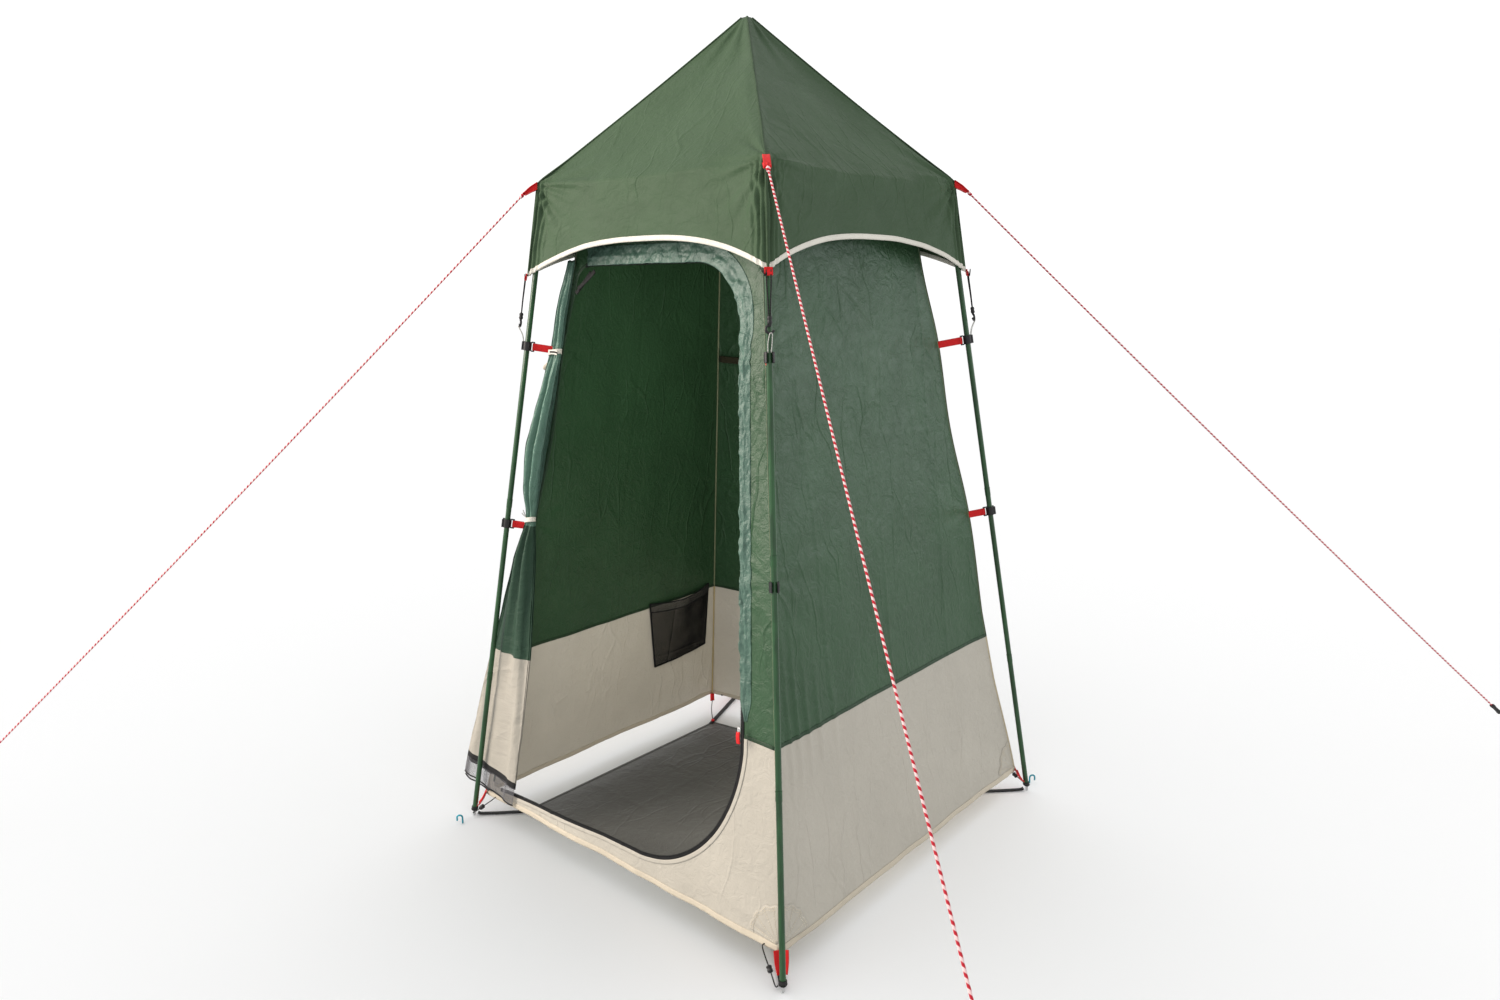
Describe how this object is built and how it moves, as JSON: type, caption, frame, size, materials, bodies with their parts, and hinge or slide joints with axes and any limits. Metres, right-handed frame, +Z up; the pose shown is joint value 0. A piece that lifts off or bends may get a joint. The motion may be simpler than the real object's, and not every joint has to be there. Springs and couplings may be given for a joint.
{
  "type": "privacy shower tent",
  "caption": "Tall square privacy tent on an outer pole frame, with a peaked canopy, hung cloth walls, a zipped doorway tied open, a groundsheet and pegged guy lines.",
  "frame": {"origin": "on the ground, at the middle of the feet of the legs", "axes": "+Z up, and -Y out of the doorway, so +X is to the right of someone who faces the back wall"},
  "size_m": [3.6276, 3.6276, 2.25],
  "materials": {
    "canopy_fabric": "grey-green coated ripstop polyester, soft sheen",
    "wall_fabric": "deep green coated polyester taffeta",
    "splash_fabric": "sand coloured coated polyester for the lower walls",
    "door_fabric": "grey-green polyester, gathered and creased",
    "binding": "cream bias binding, stitched twice",
    "floor_fabric": "grey coated groundsheet",
    "black_mesh": "black knitted mesh",
    "black_webbing": "black woven webbing",
    "red_webbing": "red woven webbing",
    "guy_cord": "red and white braided cord",
    "pole_green": "glossy green painted steel tube",
    "black_fitting": "black moulded plastic",
    "zip_pull": "red moulded pull on a painted slider",
    "teal_peg": "teal painted wire peg"
  },
  "bodies": {
    "root": {"back_wall": "wall_fabric", "canopy": "canopy_fabric", "door_panel": "door_fabric", "elbow_back_left": "black_fitting", "elbow_back_right": "black_fitting", "elbow_front_left": "black_fitting", "elbow_front_right": "black_fitting", "front_wall": "wall_fabric", "ground_peg_back_right": "teal_peg", "ground_peg_front_left": "teal_peg", "groundsheet": "floor_fabric", "guy_line_back_right": "guy_cord", "guy_line_front_left": "guy_cord", "guy_line_front_right": "guy_cord", "guy_peg_back_right": "teal_peg", "guy_peg_front_left": "teal_peg", "guy_peg_front_right": "teal_peg", "hanging_tab": "black_webbing", "hub": "black_fitting", "left_wall": "wall_fabric", "leg_lower_back_left": "pole_green", "leg_lower_back_right": "pole_green", "leg_lower_front_left": "pole_green", "leg_lower_front_right": "pole_green", "leg_middle_back_left": "pole_green", "leg_middle_back_right": "pole_green", "leg_middle_front_left": "pole_green", "leg_middle_front_right": "pole_green", "leg_upper_back_left": "pole_green", "leg_upper_back_right": "pole_green", "leg_upper_front_left": "pole_green", "leg_upper_front_right": "pole_green", "lower_clip_back_left": "black_fitting", "lower_clip_back_right": "black_fitting", "lower_clip_front_left": "black_fitting", "lower_clip_front_right": "black_fitting", "mesh_pocket": "black_mesh", "right_wall": "wall_fabric", "roof_pole_back_left": "pole_green", "roof_pole_back_right": "pole_green", "roof_pole_front_left": "pole_green", "roof_pole_front_right": "pole_green", "towel_strap": "black_webbing", "upper_clip_back_left": "black_fitting", "upper_clip_back_right": "black_fitting", "upper_clip_front_left": "black_fitting", "upper_clip_front_right": "black_fitting"},
    "zip_slider": {"zip_slider": "zip_pull"},
    "skirt_hook_front_left": {"skirt_hook_front_left": "black_fitting"},
    "skirt_hook_front_right": {"skirt_hook_front_right": "black_fitting"},
    "skirt_hook_back_right": {"skirt_hook_back_right": "black_fitting"},
    "skirt_hook_back_left": {"skirt_hook_back_left": "black_fitting"},
    "hem_toggle_front_left": {"hem_toggle_front_left": "black_fitting"},
    "hem_toggle_front_right": {"hem_toggle_front_right": "black_fitting"},
    "hem_toggle_back_right": {"hem_toggle_back_right": "black_fitting"},
    "hem_toggle_back_left": {"hem_toggle_back_left": "black_fitting"},
    "guy_runner_front_left": {"guy_runner_front_left": "black_fitting"},
    "guy_runner_front_right": {"guy_runner_front_right": "black_fitting"},
    "guy_runner_back_right": {"guy_runner_back_right": "black_fitting"}
  },
  "joints": [
    {"name": "zip_slide", "type": "slide", "parent": "root", "child": "zip_slider", "axis": [-0.1117, 0.1464, 0.9829], "range_m": [-0.05, 0.84]},
    {"name": "skirt_hook_swing_front_left", "type": "hinge", "parent": "root", "child": "skirt_hook_front_left", "pos_m": [-0.43317, -0.43317, 1.588], "axis": [-0.7071, 0.7071, 0], "range_deg": [0, 30]},
    {"name": "skirt_hook_swing_front_right", "type": "hinge", "parent": "root", "child": "skirt_hook_front_right", "pos_m": [0.43317, -0.43317, 1.588], "axis": [-0.7071, -0.7071, 0], "range_deg": [0, 30]},
    {"name": "skirt_hook_swing_back_right", "type": "hinge", "parent": "root", "child": "skirt_hook_back_right", "pos_m": [0.43317, 0.43317, 1.588], "axis": [0.7071, -0.7071, 0], "range_deg": [0, 30]},
    {"name": "skirt_hook_swing_back_left", "type": "hinge", "parent": "root", "child": "skirt_hook_back_left", "pos_m": [-0.43317, 0.43317, 1.588], "axis": [0.7071, 0.7071, 0], "range_deg": [0, 30]},
    {"name": "hem_toggle_slide_front_left", "type": "slide", "parent": "root", "child": "hem_toggle_front_left", "axis": [0.7191, 0.3314, 0.6108], "range_m": [0, 0.02]},
    {"name": "hem_toggle_slide_front_right", "type": "slide", "parent": "root", "child": "hem_toggle_front_right", "axis": [-0.7191, 0.3314, 0.6108], "range_m": [0, 0.02]},
    {"name": "hem_toggle_slide_back_right", "type": "slide", "parent": "root", "child": "hem_toggle_back_right", "axis": [-0.7191, -0.3314, 0.6108], "range_m": [0, 0.02]},
    {"name": "hem_toggle_slide_back_left", "type": "slide", "parent": "root", "child": "hem_toggle_back_left", "axis": [0.3029, -0.9176, 0.2573], "range_m": [0, 0.02]},
    {"name": "guy_runner_slide_front_left", "type": "slide", "parent": "root", "child": "guy_runner_front_left", "axis": [-0.5167, -0.5167, -0.6827], "range_m": [-0.05, 0.05]},
    {"name": "guy_runner_slide_front_right", "type": "slide", "parent": "root", "child": "guy_runner_front_right", "axis": [0.567, -0.4226, -0.707], "range_m": [-0.05, 0.05]},
    {"name": "guy_runner_slide_back_right", "type": "slide", "parent": "root", "child": "guy_runner_back_right", "axis": [0.5305, 0.5305, -0.6612], "range_m": [-0.05, 0.05]}
  ]
}
